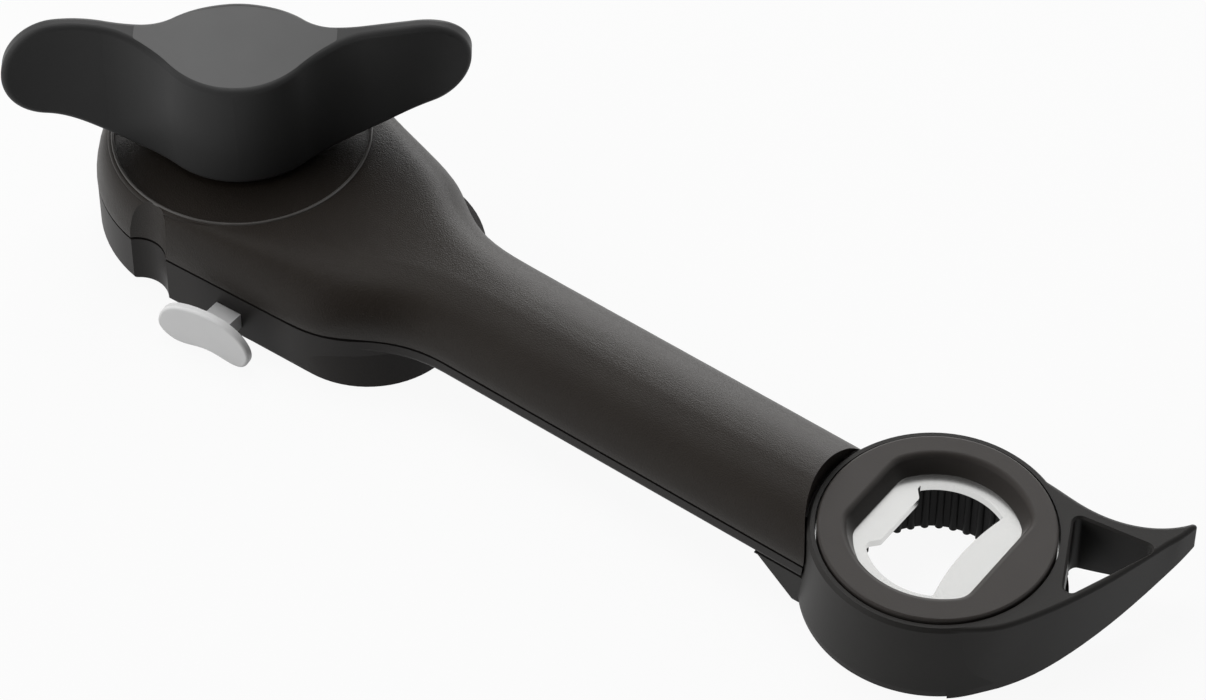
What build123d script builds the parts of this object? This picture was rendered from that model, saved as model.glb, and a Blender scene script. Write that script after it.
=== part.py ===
from build123d import *
import os
from math import acos, atan2, cos, degrees, hypot, pi, radians, sin, sqrt

# Manual can opener with a winged turning knob, a straight handle and a tail ring.
# Frame: origin on the knob's axis at the plane the tool lies on, +X towards the tail ring,
# +Y away from the lid pincher's button, +Z up. Millimetres.

# How far a cut reaches past the part it is made in, at most
CUT = 60.0

# Housing: two moulded shells that part on one flat plane
PART_Z = 11.5
WALL = 2.2
HANDLE_Y = -3.65
HEAD_R = 29.1
NEAR_SHOULDER = (33.0, HANDLE_Y, 24.0)
FAR_SHOULDER = (25.8, -4.3, 26.8)
SKIRT_SHOULDER = (38.0, -8.4, 19.0)
FLARE_INSET = 0.7
FLARE_TOP = 9.5
HANDLE_HALF = 14.1
HANDLE_RISE = 9.6
HEAD_RISE = 9.3
SHOULDER_SWELL = 0.6
SECTION_BLEND_X = (0.0, 75.0)
SWELL_END_X = 44.0
SWELL_FALL_X = 20.0
SHOULDER_STATIONS = 8
STRAIGHT_LEAD = 12.0
ROUND_END_LAP = 0.04
BLEND_R = 28.0
HANDLE_END_X = 152.0
CAVITY_END_X = 133.0
# Half sections of the upper shell as shares of its half width and of its rise, edge to crown
HEAD_SECTION = [(1, 0), (0.985, 0.38), (0.955, 0.72), (0.9, 0.955), (0.78, 1.0), (0, 1)]
HANDLE_SECTION_DEG = [0, 22, 45, 64, 79, 90]
BEAD_R = 25.75
BEAD_Z = 20.55
BEAD_SECTION_R = 0.6
DISH_R = 25.4
DISH_TOP = 21.0
DISH_WALL_RUN = 0.4
DISH_Z = 19.7
STRIP_Z = 7.6
STRIP_EDGE_R = 1.4
SKIRT_EDGE_R = 0.6
GROOVE_DEPTH = 0.5
GROOVE_HEIGHT = 0.6
DECK_Z = 7.5
DECK_TOP = 9.5
TAIL_FLOOR = 1.8
WELL_END_X = 29.0
POCKET_X = 31.0
POCKET_Y = 2.0

# Finger notch in the near side of the head
NOTCH_X = -0.7
NOTCH_R = 6.05
NOTCH_FLOOR_Y = -26.7
NOTCH_LEAN = 6.0
NOTCH_RIB_HALF = 7.5
NOTCH_RIB_Y = -24.4

# Room for the can under the head: the rim of the largest can passes this near to the knob's axis
CAN_R = 52.0
CAN_NEAR_Y = -8.0
RIM_SEAT_Z = 6.0

# Screws that hold the shells and the tail ring
SCREW_R = 1.45
SCREW_HEAD_R = 2.7
SCREW_HEAD_H = 1.5
SCREW_LENGTH = 8.0
CROSS_HALF = 1.5
CROSS_DEPTH = 0.7
SLOT_HALF = 0.3
BOSS_R = 3.2
BOSS_SKIN = 0.6
SEAT_GAP = 0.1
DECK_SCREWS = [(-18.6, 14.0), (12.0, 20.8)]
HANDLE_SCREWS = [(78.0, HANDLE_Y), (106.0, HANDLE_Y)]
TAIL_SCREWS = [(128.5, HANDLE_Y - 4.4), (128.5, HANDLE_Y + 4.4)]
SCREW_ROOM = 0.2
PAD_R = 4.6
PAD_ROOT = 0.5
PAD_TOP = 11.4
TAIL_PAD_TOP = 10.9
COUNTERBORE_R = 3.0
COUNTERBORE_TOP = 9.8

# Knob, its shaft and its bearings. Its plan is given at one height and widens downwards by the draft,
# its wings turn a little with height, and their ends bend in plan.
KNOB_TURN = 36.6
KNOB_BOTTOM = 20.5
KNOB_SADDLE_Z = 44.1
KNOB_PLAN_Z = 45.0
KNOB_DRAFT = 0.075
KNOB_TWIST = 0.11
KNOB_TWIST_Z = 38.0
KNOB_LOFT_LOW = 20.0
KNOB_LOFT_HIGH = 56.0
KNOB_HUB_HALF = 12.4
KNOB_FIN_HALF = 1.9
KNOB_FIN_S = 25.5
WING_BEND_R = 51.0
WING_S = 34.9
WING_Z = 40.1
WING_R = 10.4
WING_PLAN_LENGTH = 26.0
KNOB_SADDLE_S = 2.0
KNOB_FOOT_S = 12.5
WING_BELLY_DEG = 15.0
KNOB_EDGE_R = 1.1
TOP_PAD_DEPTH = 1.4
TOP_PAD_INSET = 1.2
TOP_PAD_S = 19.6
TOP_PAD_CORNER_R = 0.9
SHAFT_R = 4.0
SHAFT_TOP = 36.0
SHAFT_FLAT = 3.2
FLAT_LOW = 20.0
JOURNAL_END_Z = 5.9
WHEEL_SEAT_R = 3.0
WHEEL_FLAT = 2.4
SLIP = 0.02
RUN = 0.05
BUSH_R = 6.4
BUSH_BOSS_WALL = 2.4
BUSH_BOSS_LOW = 13.0
UPPER_BUSH_LOW = 13.2
UPPER_FLANGE_R = 9.0
UPPER_FLANGE_T = 0.4
LOWER_FLANGE_R = 7.4
LOWER_FLANGE_T = 0.7
WASHER_R = 8.6
KNOB_SCREW_R = 1.5
KNOB_SCREW_HEAD_R = 3.0
KNOB_SCREW_HEAD_H = 2.0
KNOB_SCREW_SEAT = 38.0
KNOB_SCREW_SLOT = (2.0, 0.9)
KNOB_SCREW_LENGTH = 12.0
CLIP_Z = 10.35
CLIP_T = 0.8
CLIP_GROOVE_R = 3.2
CLIP_R = 5.8
CLIP_MOUTH_HALF = 2.2

# Feed wheel and cutter under the head
FEED_R = 6.0
FEED_TEETH = 28
TOOTH_DEPTH = 0.7
TOOTH_GROOVE_SHARE = 0.8
FEED_HUB_R = 5.0
FEED_SCREW_R = 1.3
FEED_SCREW_HEAD_R = 3.4
FEED_SCREW_LOW = 0.6
FEED_SCREW_SLOT = (2.2, 0.4)
FEED_SCREW_TOP = 7.0
FEED_LOW = 1.4
FEED_RIM_TOP = 4.2
CUTTER_R = 6.0
CUTTER_X = 0.0
CUTTER_Y = -16.9
CUTTER_EDGE_Z = 3.2
CUTTER_LOW = 1.7
CUTTER_TOP = 4.1
CUTTER_HUB_R = 4.4
CUTTER_LAND = 0.08
CUTTER_BEVEL_LOW = 0.6
CUTTER_BEVEL_TOP = 0.5
AXLE_R = 2.0
AXLE_HEAD_R = 3.4
AXLE_HEAD_H = 0.9
PIVOT_X = -13.5
PIVOT_Y = -15.8
PLATE_T = 1.5
BEARING_PLATE = (-21.0, 25.0, -23.4, 9.0)
BEARING_PLATE_STEP = (13.0, -5.4)
BEARING_PLATE_GAP = 0.4
PLATE_SCREWS = [(-17.0, -2.0), (9.0, -20.0), (9.5, 6.2)]
PLATE_SCREW_R = 1.2
PLATE_HEAD_R = 2.3
PLATE_HEAD_H = 1.1
PLATE_SCREW_TOP = 10.5
PLATE_BOSS_R = 2.8
PLATE_BOSS_TOP = 11.2
PLATE_HOLE_TOP = 10.9
PLATE_SLOT = (1.4, 0.5)
PIVOT_R = 2.6
PIVOT_SHANK_R = 2.2
PIVOT_HEAD_R = 4.0
PIVOT_HEAD_H = 1.0
CARRIER_WIDTH = 9.4
CARRIER_LOW = 4.3
CARRIER_TOP = 5.9

# Lid pincher: a button on the near side that slides inwards
STEM_X = 18.9
STEM_HALF = 2.9
STEM_LOW = 2.6
STEM_TOP = 6.5
STEM_END_Y = -19.0
BUTTON_Y = -36.0
BUTTON_T = 1.5
BUTTON_TURN = 8.0
BUTTON_X = 18.0
BUTTON_EDGE_R = 0.6
BUTTON_OUTLINE = [(-9.9, 4.4), (-6.8, 9.4), (0.2, 11.0), (7.2, 9.2), (10.6, 3.4), (9.2, 0.5),
                  (1.5, 1.1), (-6.8, 0.5)]
ROD_R = 1.1
GUIDE_Y = -7.4
GUIDE_T = 1.6
RAIL_T = 1.2
RAIL_Y = -26.0
RAIL_LOW = 1.6
SILL_END_Y = -22.0
SILL_LOW = 1.2
JAW_T = 1.2
JAW_HALF = 3.6
JAW_LOW = 1.2
MOVING_JAW_Y = -5.7
FIXED_JAW_Y = 0.0
JAW_TOOTH = 0.9
JAW_GROOVE = 0.5
JAW_GAP = 0.2
JAW_FOOT_Y = 7.2
JAW_RIVET_Y = 4.4
JAW_RIVET_R = 1.4
JAW_RIVET_HEAD_R = 2.4
RIVET_HEAD_H = 0.7
SPRING_R = 1.85
SPRING_WIRE_R = 0.3
SPRING_TURNS = 6
STEM_GAP = 0.15

# Tail ring, its steel bottle opener and its ribbed jar grip
RING_X = 165.0
RING_R = 25.4
RING_NECK_R = 24.0
RING_TOP_R = 23.4
RING_TOP = 17.9
RING_EDGE = 0.8
RING_GAP = 0.4
BORE_R = 21.5
SEAT_R = 22.6
PLATE_Z = 12.9
OPENER_T = 1.6
BEZEL_R = 22.2
BEZEL_TOP = 18.6
BEZEL_EDGE_R = 0.5
LIP_R = 25.2
LIP_TOP = 1.9
LIP_EDGE = 0.3
OPENING_R = 13.4
OPENING_Y = 0.3
LIP_X = -8.3
LIP_HALF = 6.2
NICK_X = -9.9
NICK_HALF = 8.0
BOW_X = 6.8
BOW_RISE = 1.4
OPENING_CORNER_R = 0.7
APERTURE_R = 17.3
APERTURE_LEFT = -15.2
APERTURE_RIGHT = 13.5
APERTURE_Y = 0.5
APERTURE_SLOPE = 1.6
APERTURE_CORNER_R = 4.0
APERTURE_EDGE_R = 1.2
LINER_R = 21.45
LINER_INNER_R = 15.3
RIB_DEPTH = 0.6
RIB_COUNT = 36
RIB_ROOT = 0.2
LINER_LOW = 0.5
LINER_TOP = 12.8
CLAW_LAP = 0.12
CLAW_DRAFT = 0.15
CLAW_START_DEG = -50.0
CLAW_OUTER = [(186.2, -13.6), (190.0, -8.1), (194.8, 2.2), (198.8, 14.1), (201.3, 23.1)]
CLAW_TIP = (203.6, 34.4)
CLAW_TIP_DEG = 81.0
CLAW_INNER = [(197.4, 25.0), (190.7, 21.9), (183.6, 21.1), (176.6, 21.7)]
CLAW_ROOT = (173.0, 21.9)
CLAW_HOLE = [(183.2, 18.0), (200.0, 20.4), (192.2, 0.2)]
CLAW_HOLE_R = 1.3
CLAW_HOLE_CHAMFER = 0.45
CLAW_UNDERSIDE = [(9.0, 0.0), (31.0, 4.7), (50.0, 13.4)]
CLAW_TIP_R = 0.6
CLAW_EDGE_R = 0.8
TONGUE_X = 124.0
TONGUE_END_X = 146.0
TONGUE_HALF = 7.5
TONGUE_LOW = 11.0
TONGUE_TOP = 16.4
SADDLE_X = 136.4
SADDLE_SLOPE = [(137.2, 7.2), (145.2, 0.2)]
SADDLE_END_X = 160.0
SADDLE_INSET = 0.3
SADDLE_TOP = 7.5


def cylinder(x, y, low, high, radius):
    """Upright cylinder between two heights."""
    return Pos(x, y, low) * Cylinder(radius, high - low, align=(Align.CENTER, Align.CENTER, Align.MIN))


def block(x0, x1, y0, y1, z0, z1):
    """Box between two corners."""
    return Pos(x0, y0, z0) * Box(x1 - x0, y1 - y0, z1 - z0, align=(Align.MIN, Align.MIN, Align.MIN))


def turned(points):
    """Solid of revolution about the knob's axis from (radius, height) points."""
    return revolve(Plane.XZ * make_face(Polyline(*points, close=True)), Axis.Z)


def tube(x, y, low, high, outer, inner):
    """Upright tube between two heights."""
    return cylinder(x, y, low, high, outer) - cylinder(x, y, low - 1, high + 1, inner)


def polar(centre, radius, angle):
    """Point at an angle in radians from a centre."""
    return (centre[0] + radius * cos(angle), centre[1] + radius * sin(angle))


def edge_points(side, inset, shoulder):
    """Plan points of one edge: head and shoulder tangents, end of the shoulder, start of the handle."""
    sx, sy, sr = shoulder
    r1 = HEAD_R - inset
    r2 = sr - inset
    blend = BLEND_R + inset
    edge = HANDLE_Y + side * (HANDLE_HALF - inset)
    lean = atan2(sy, sx) + side * acos((r1 - r2) / hypot(sx, sy))
    rise = edge + side * blend - sy
    run = sqrt((r2 + blend) ** 2 - rise ** 2)
    turn = atan2(rise, run)
    return {
        "head": polar((0, 0), r1, lean),
        "shoulder": polar((sx, sy), r2, lean),
        "shoulder_mid": polar((sx, sy), r2, (lean + turn) / 2),
        "bend": polar((sx, sy), r2, turn),
        "handle": (sx + run, edge),
        "blend_centre": (sx + run, sy + rise),
        "blend": blend,
    }


def housing_edge(side, inset):
    """Plan points of the housing's near edge (-1) or far edge (+1), each with its own shoulder."""
    return edge_points(side, inset, NEAR_SHOULDER if side < 0 else FAR_SHOULDER)


def edge_y(x, side, inset):
    """Edge of the housing in plan at station x, side -1 near and +1 far."""
    p = housing_edge(side, inset)
    sx, sy, sr = NEAR_SHOULDER if side < 0 else FAR_SHOULDER
    if x <= p["head"][0]:
        return side * sqrt((HEAD_R - inset) ** 2 - x ** 2)
    if x <= p["shoulder"][0]:
        share = (x - p["head"][0]) / (p["shoulder"][0] - p["head"][0])
        return p["head"][1] + share * (p["shoulder"][1] - p["head"][1])
    if x <= p["bend"][0]:
        return sy + side * sqrt((sr - inset) ** 2 - (x - sx) ** 2)
    if x < p["handle"][0]:
        cx, cy = p["blend_centre"]
        return cy - side * sqrt(p["blend"] ** 2 - (x - cx) ** 2)
    return p["handle"][1]


def head_plan(inset, shoulder=NEAR_SHOULDER):
    """Plan of the drum: the round head and the smaller round shoulder, joined by tangents."""
    sx, sy, sr = shoulder
    near = edge_points(-1, inset, shoulder)
    far = edge_points(1, inset, shoulder)
    return make_face([
        Line(near["head"], near["shoulder"]),
        ThreePointArc(near["shoulder"], (sx + sr - inset, sy), far["shoulder"]),
        Line(far["shoulder"], far["head"]),
        ThreePointArc(far["head"], (inset - HEAD_R, 0), near["head"]),
    ])


def housing_plan(inset):
    """Plan of the whole housing at the parting plane: the drum flowing into the handle."""
    edges = []
    for side in (-1, 1):
        p = housing_edge(side, inset)
        cx, cy = p["blend_centre"]
        start = atan2(p["bend"][1] - cy, p["bend"][0] - cx)
        middle = polar((cx, cy), p["blend"], (start - side * pi / 2) / 2)
        edges += [
            Line(p["head"], p["shoulder"]),
            ThreePointArc(p["shoulder"], p["shoulder_mid"], p["bend"]),
            ThreePointArc(p["bend"], middle, p["handle"]),
            Line(p["handle"], (HANDLE_END_X, p["handle"][1])),
        ]
    near = housing_edge(-1, inset)
    far = housing_edge(1, inset)
    edges.append(Line((HANDLE_END_X, near["handle"][1]), (HANDLE_END_X, far["handle"][1])))
    edges.append(ThreePointArc(far["head"], (-(HEAD_R - inset), 0), near["head"]))
    return make_face(edges)


def ease(share):
    """Smooth step from 0 to 1."""
    share = min(max(share, 0), 1)
    return share * share * (3 - 2 * share)


def half_section(x, side, inset):
    """Half of the upper shell's section at station x, from its edge up to its crown."""
    handle_x = housing_edge(-1, 0)["handle"][0]
    start, end = SECTION_BLEND_X
    blend = ease((x - start) / (end - start))
    crown_y = HANDLE_Y * blend
    width = edge_y(x, side, inset) - crown_y
    swell = SHOULDER_SWELL * sin(pi / 2 * min(x / SWELL_END_X, 1))
    fall = ease((x - SWELL_FALL_X) / (handle_x - SWELL_FALL_X))
    rise = HEAD_RISE + swell - (HEAD_RISE + SHOULDER_SWELL - HANDLE_RISE) * fall - inset
    points = []
    for (u, v), angle in zip(HEAD_SECTION, HANDLE_SECTION_DEG):
        out = (1 - blend) * u + blend * cos(radians(angle))
        up = (1 - blend) * v + blend * sin(radians(angle))
        points.append((crown_y + out * width, PART_Z + up * rise))
    return points


def section_face(x, inset):
    """Closed section of the upper shell at station x."""
    near = half_section(x, -1, inset)
    far = half_section(x, 1, inset)[::-1]
    arch = [
        Spline(*near, tangents=[(0, 1), (1, 0)]),
        Spline(*far, tangents=[(1, 0), (0, -1)]),
        Line(far[-1], near[0]),
    ]
    return Plane((x, 0, 0), x_dir=(0, 1, 0), z_dir=(1, 0, 0)) * make_face(arch)


def upper_form(inset):
    """Solid of the upper half: round end, flowing shoulder and arched handle."""
    handle_x = housing_edge(-1, 0)["handle"][0]
    half = half_section(0, -1, inset - ROUND_END_LAP)
    profile = [
        Spline(*half, tangents=[(0, 1), (1, 0)]),
        Line(half[-1], (0, PART_Z)),
        Line((0, PART_Z), half[0]),
    ]
    round_end = revolve(Plane.YZ * make_face(profile), Axis.Z, -180)
    stations = [handle_x * i / SHOULDER_STATIONS for i in range(SHOULDER_STATIONS + 1)]
    straight_x = handle_x + STRAIGHT_LEAD
    stations += [handle_x + STRAIGHT_LEAD / 2, straight_x]
    shoulder = loft([section_face(x, inset) for x in stations])
    return round_end + shoulder + extrude(section_face(straight_x, inset), HANDLE_END_X - straight_x)


def notch():
    """Upright groove in the near side of the head, leaning in with the wall above the parting plane."""
    centre_y = NOTCH_FLOOR_Y - NOTCH_R
    low = cylinder(NOTCH_X, centre_y, -1, PART_Z, NOTCH_R)
    high = Pos(NOTCH_X, centre_y, PART_Z) * Rot(-NOTCH_LEAN, 0, 0) * Cylinder(
        NOTCH_R, CUT, align=(Align.CENTER, Align.CENTER, Align.MIN))
    return low, high


def ring_room():
    """Space that the tail ring takes at the handle's end, a small gap wider than its sloping wall."""
    low, high = -1, RING_TOP - RING_EDGE
    wall = [(0, low), (ring_radius(low) + RING_GAP, low), (ring_radius(high) + RING_GAP, high)]
    return Pos(RING_X, 0, 0) * turned(wall + [(ring_radius(high) + RING_GAP, CUT), (0, CUT)])


def screw_at(x, y, seat):
    """Pan-head screw driven upwards, its head under the seat."""
    head = cylinder(x, y, seat - SCREW_HEAD_H, seat, SCREW_HEAD_R)
    low, high = seat - SCREW_HEAD_H - 1, seat - SCREW_HEAD_H + CROSS_DEPTH
    cross = block(x - CROSS_HALF, x + CROSS_HALF, y - SLOT_HALF, y + SLOT_HALF, low, high)
    cross += block(x - SLOT_HALF, x + SLOT_HALF, y - CROSS_HALF, y + CROSS_HALF, low, high)
    return head + cylinder(x, y, seat, seat + SCREW_LENGTH, SCREW_R) - cross


def upper_shell():
    bead = Pos(0, 0, BEAD_Z) * Torus(BEAD_R, BEAD_SECTION_R)
    dish = turned([(0, DISH_Z), (DISH_R - DISH_WALL_RUN, DISH_Z), (DISH_R, DISH_TOP), (DISH_R, CUT), (0, CUT)])
    cavity = upper_form(WALL) - block(CAVITY_END_X, CAVITY_END_X + CUT, -CUT, CUT, 0, CUT)
    cavity -= block(NOTCH_X - NOTCH_RIB_HALF, NOTCH_X + NOTCH_RIB_HALF, -CUT, NOTCH_RIB_Y, 0, CUT)
    cavity -= cylinder(0, 0, BUSH_BOSS_LOW, CUT, BUSH_R + BUSH_BOSS_WALL)
    shell = upper_form(0) + bead - notch()[1] - dish - cavity
    bosses = [(x, y, DECK_TOP + SEAT_GAP) for x, y in DECK_SCREWS] + [(x, y, PART_Z) for x, y in HANDLE_SCREWS]
    inside = upper_form(BOSS_SKIN) + extrude(housing_plan(BOSS_SKIN), PART_Z) - Pos(0, 0, -BOSS_SKIN) * dish
    for x, y, low in bosses:
        shell += cylinder(x, y, low, CUT, BOSS_R) & inside
        shell -= cylinder(x, y, low - 1, low + SCREW_LENGTH, SCREW_R + RUN)
    shell -= cylinder(0, 0, 0, CUT, BUSH_R + SLIP)
    shell -= ring_room()
    slot = TONGUE_HALF + SEAT_GAP
    top = TONGUE_TOP + SEAT_GAP
    return shell - block(CAVITY_END_X - 1, HANDLE_END_X + 1, HANDLE_Y - slot, HANDLE_Y + slot, 0, top)


def lower_shell():
    strip = extrude(Pos(0, 0, STRIP_Z) * housing_plan(0), PART_Z - STRIP_Z)
    strip = fillet(strip.faces().sort_by(Axis.Z)[0].edges(), STRIP_EDGE_R)
    drum = extrude(head_plan(0), PART_Z)
    drum = fillet(drum.faces().sort_by(Axis.Z)[0].edges(), SKIRT_EDGE_R)
    sx, sy, sr = SKIRT_SHOULDER
    wide = head_plan(FLARE_INSET, (sx, sy, sr + FLARE_INSET))
    flare = loft([wide, Pos(0, 0, FLARE_TOP) * head_plan(FLARE_INSET)], ruled=True)
    drum += flare
    rib = block(NOTCH_X - NOTCH_RIB_HALF, NOTCH_X + NOTCH_RIB_HALF, -CUT, NOTCH_RIB_Y, -CUT, CUT)
    upper_room = extrude(Pos(0, 0, DECK_TOP) * housing_plan(WALL), PART_Z - DECK_TOP)
    upper_room -= block(CAVITY_END_X, CAVITY_END_X + CUT, -CUT, CUT, 0, CUT)
    well = extrude(Pos(0, 0, -1) * head_plan(WALL), DECK_Z + 1)
    well -= block(WELL_END_X, WELL_END_X + CUT, -CUT, CUT, -CUT, CUT)
    pocket = extrude(Pos(0, 0, TAIL_FLOOR) * head_plan(WALL), PART_Z - TAIL_FLOOR)
    pocket &= block(POCKET_X, POCKET_X + CUT, -CUT, POCKET_Y, 0, CUT)
    shell = strip + drum - (upper_room - rib) - (well - rib) - pocket
    shell -= cylinder(0, CAN_NEAR_Y + CAN_R, -1, RIM_SEAT_Z, CAN_R)
    pads = [(x, y, PAD_TOP) for x, y in HANDLE_SCREWS] + [(x, y, TAIL_PAD_TOP) for x, y in TAIL_SCREWS]
    for x, y, top in pads:
        shell += cylinder(x, y, DECK_TOP - PAD_ROOT, top, PAD_R)
    for x, y, top in pads:
        shell -= cylinder(x, y, 0, COUNTERBORE_TOP, COUNTERBORE_R)
        shell -= cylinder(x, y, 0, CUT, SCREW_R + SCREW_ROOM)
    for x, y in DECK_SCREWS:
        shell -= cylinder(x, y, 0, CUT, SCREW_R + SCREW_ROOM)
    for x, y in PLATE_SCREWS:
        shell += cylinder(x, y, DECK_TOP - PAD_ROOT, PLATE_BOSS_TOP, PLATE_BOSS_R)
    for x, y in PLATE_SCREWS:
        shell -= cylinder(x, y, 0, PLATE_HOLE_TOP, PLATE_SCREW_R + SLIP)
    shell -= cylinder(0, 0, 0, CUT, BUSH_R + SLIP)
    shell -= cylinder(PIVOT_X, PIVOT_Y, 0, CUT, PIVOT_SHANK_R + SLIP)
    shell -= ring_room()
    slot = TONGUE_HALF + SEAT_GAP
    low = TONGUE_LOW - SEAT_GAP
    shell -= block(CAVITY_END_X - 1, HANDLE_END_X + 1, HANDLE_Y - slot, HANDLE_Y + slot, low, CUT)
    shell = shell + pincher_guide() - pincher_slot() - notch()[0]
    return shell - parting_groove()


def parting_groove():
    """Shadow gap round the outside of the lower shell where the upper one sits on it."""
    low = PART_Z - GROOVE_HEIGHT
    groove = block(-CUT, HANDLE_END_X + 1, -CUT, CUT, low, PART_Z + 1)
    groove -= extrude(Pos(0, 0, low - 1) * housing_plan(GROOVE_DEPTH), CUT)
    return groove + cylinder(NOTCH_X, NOTCH_FLOOR_Y - NOTCH_R, low, PART_Z + 1, NOTCH_R + GROOVE_DEPTH)


def pincher_guide():
    """Rails and end wall under the deck that carry the pincher's button."""
    half = STEM_HALF + STEM_GAP
    outer = half + RAIL_T
    guide = block(STEM_X - outer, STEM_X - half, RAIL_Y, GUIDE_Y, RAIL_LOW, DECK_Z)
    guide += block(STEM_X + half, STEM_X + outer, RAIL_Y, GUIDE_Y, RAIL_LOW, DECK_Z)
    guide += block(STEM_X - outer, STEM_X + outer, GUIDE_Y, GUIDE_Y + GUIDE_T, RAIL_LOW, DECK_Z)
    guide += block(STEM_X - outer, STEM_X + outer, RAIL_Y, SILL_END_Y, SILL_LOW, STEM_LOW - STEM_GAP)
    return guide


def pincher_slot():
    """Square way for the stem through the skirt and round way for the rod through the end wall."""
    half = STEM_HALF + STEM_GAP
    way = block(STEM_X - half, STEM_X + half, -CUT, STEM_END_Y, STEM_LOW - STEM_GAP, STEM_TOP + STEM_GAP)
    middle = (STEM_LOW + STEM_TOP) / 2
    rod = Pos(STEM_X, GUIDE_Y, middle) * Rot(90, 0, 0) * Cylinder(ROD_R + RUN, 4 * GUIDE_T)
    return way + rod


def bearing_plate():
    """Steel plate under the deck that carries the cutter's pivot and the fixed jaw."""
    left, right, near, far = BEARING_PLATE
    step_x, step_y = BEARING_PLATE_STEP
    body = extrude(Pos(0, 0, RIM_SEAT_Z) * head_plan(WALL + BEARING_PLATE_GAP), PLATE_T)
    body &= block(left, right, near, far, 0, CUT)
    body -= block(step_x, step_x + CUT, -CUT, step_y, 0, CUT)
    body -= cylinder(0, 0, 0, CUT, BUSH_R + SLIP)
    body -= cylinder(PIVOT_X, PIVOT_Y, 0, CUT, PIVOT_SHANK_R + SLIP)
    body -= cylinder(STEM_X, JAW_RIVET_Y, 0, CUT, JAW_RIVET_R + SLIP)
    for x, y in PLATE_SCREWS:
        body -= countersunk(x, y, SLIP)
    return body


def countersunk(x, y, gap):
    """Countersunk screw driven upwards, flush with the plate's lower face."""
    low = RIM_SEAT_Z
    head = Pos(x, y, low) * Cone(
        PLATE_HEAD_R + gap, PLATE_SCREW_R + gap, PLATE_HEAD_H, align=(Align.CENTER, Align.CENTER, Align.MIN))
    return head + cylinder(x, y, low, PLATE_SCREW_TOP, PLATE_SCREW_R + gap)


def plate_screws():
    screws = []
    for x, y in PLATE_SCREWS:
        half, depth = PLATE_SLOT
        slot = block(x - half, x + half, y - SLOT_HALF, y + SLOT_HALF, RIM_SEAT_Z - 1, RIM_SEAT_Z + depth)
        screws.append(countersunk(x, y, 0) - slot)
    return Compound(children=screws)


def housing_screws():
    screws = [screw_at(x, y, DECK_Z) for x, y in DECK_SCREWS]
    screws += [screw_at(x, y, COUNTERBORE_TOP) for x, y in HANDLE_SCREWS + TAIL_SCREWS]
    return Compound(children=screws)


def knob_axes():
    """Knob frame: x along the wings, y across them."""
    return Rot(0, 0, KNOB_TURN)


def s_curve(start, end):
    """Two equal arcs from one level stretch to another, through the point midway."""
    (x0, y0), (x1, y1) = start, end
    width, rise = x1 - x0, y1 - y0
    radius = (width ** 2 + rise ** 2) / (4 * abs(rise))
    quarter = width / 4
    sag = radius - sqrt(radius ** 2 - quarter ** 2)
    lift = sag if rise > 0 else -sag
    middle = ((x0 + x1) / 2, (y0 + y1) / 2)
    return [
        ThreePointArc(start, (x0 + quarter, y0 + lift), middle),
        ThreePointArc(middle, (x1 - quarter, y1 - lift), end),
    ]


def mirrored(edges):
    """Edges and their mirror images across the vertical axis."""
    return edges + [e.mirror(Plane.YZ) for e in edges]


def bend_point(radius, angle):
    """Point on the bend of a wing in plan, the angle counted from where the bend starts."""
    return (KNOB_FIN_S + radius * sin(angle), WING_BEND_R - radius * cos(angle))


def knob_plan(grow):
    """Plan of the knob: a rounded hub that thins to a fin on each side, the fins' ends bent."""
    hub = KNOB_HUB_HALF + grow
    fin = KNOB_FIN_HALF + grow
    inner = WING_BEND_R - fin
    outer = WING_BEND_R + fin
    end = WING_PLAN_LENGTH / WING_BEND_R
    wing = s_curve((0, hub), (KNOB_FIN_S, fin)) + [
        ThreePointArc(bend_point(inner, 0), bend_point(inner, end / 2), bend_point(inner, end)),
        Line(bend_point(inner, end), bend_point(outer, end)),
        ThreePointArc(bend_point(outer, end), bend_point(outer, end / 2), bend_point(outer, 0)),
    ] + s_curve((0, -hub), (KNOB_FIN_S, -fin))
    return make_face(wing + [Rot(0, 0, 180) * e for e in wing])


def knob_level(z):
    """The knob's plan at a height, with the draft and the turn of its sides."""
    turn = KNOB_TWIST * (KNOB_TWIST_Z - z)
    return Pos(0, 0, z) * Rot(0, 0, turn) * knob_plan(KNOB_DRAFT * (KNOB_PLAN_Z - z))


def pad_plan():
    """Plan of the soft pad on the knob's hub: the hub's outline, drawn in and ended short of the wings."""
    turn = KNOB_TWIST * (KNOB_TWIST_Z - KNOB_SADDLE_Z)
    face = Rot(0, 0, turn) * (knob_plan(-TOP_PAD_INSET) & Rectangle(2 * TOP_PAD_S, CUT))
    corners = [v for v in face.vertices() if abs(hypot(v.X, v.Y) - TOP_PAD_S) < 1]
    return fillet(corners, min(TOP_PAD_CORNER_R, KNOB_FIN_HALF - TOP_PAD_INSET))


def knob_profile(drop):
    """Side view of the knob: a saddle on top between two round wings, and a hub that flares up below."""
    crown = WING_Z + WING_R - drop
    lean = radians(WING_BELLY_DEG)
    belly = polar((WING_S, WING_Z), WING_R - drop, lean - pi / 2)
    saddle = Line((0, KNOB_SADDLE_Z - drop), (KNOB_SADDLE_S, KNOB_SADDLE_Z - drop))
    top = s_curve((KNOB_SADDLE_S, KNOB_SADDLE_Z - drop), (WING_S, crown))
    wing = ThreePointArc((WING_S, crown), (WING_S + WING_R - drop, WING_Z), belly)
    under = Spline((KNOB_FOOT_S, KNOB_BOTTOM), belly, tangents=[(1, 0), (cos(lean), sin(lean))])
    foot = Line((0, KNOB_BOTTOM), (KNOB_FOOT_S, KNOB_BOTTOM))
    return make_face(mirrored([saddle] + top + [wing, under, foot]))


def profile_solid(drop):
    return extrude(Plane.XZ * knob_profile(drop), CUT, both=True)


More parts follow.
